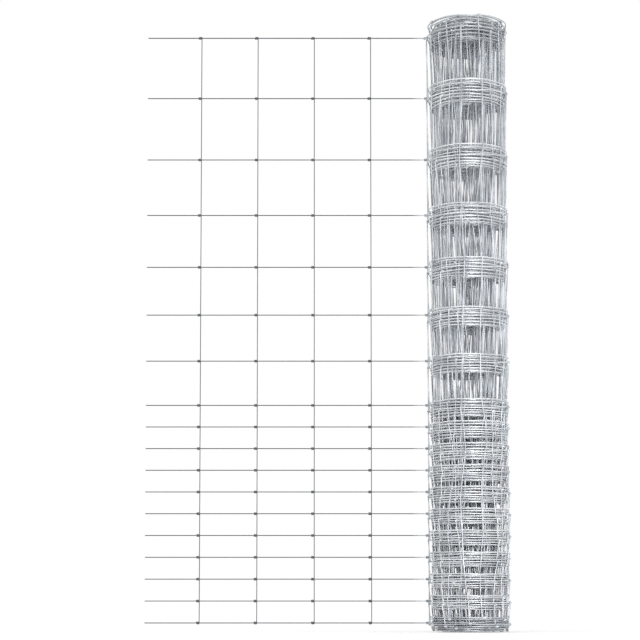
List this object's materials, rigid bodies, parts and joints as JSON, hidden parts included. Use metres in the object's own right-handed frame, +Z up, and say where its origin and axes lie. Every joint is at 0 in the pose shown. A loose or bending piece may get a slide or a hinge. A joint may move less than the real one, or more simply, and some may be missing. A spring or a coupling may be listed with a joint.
{
  "type": "roll of wire fencing",
  "caption": "Standing roll of galvanised hinge-joint stock fencing, graded from close to wide mesh, with a flat stretch pulled out.",
  "frame": {"origin": "on the roll's axis, at floor level", "axes": "+Z up the roll's axis; the flat stretch runs along -X in a plane that touches the roll's +Y side; the viewer of the picture stands at -Y"},
  "size_m": [0.92, 0.2097, 1.5409],
  "materials": {
    "galvanised_wire": "hot-dip galvanised steel wire, satin with a faint grey-blue bloom"
  },
  "bodies": {
    "root": {"wound_roll": "galvanised_wire", "unrolled_stretch": "galvanised_wire"}
  },
  "joints": []
}
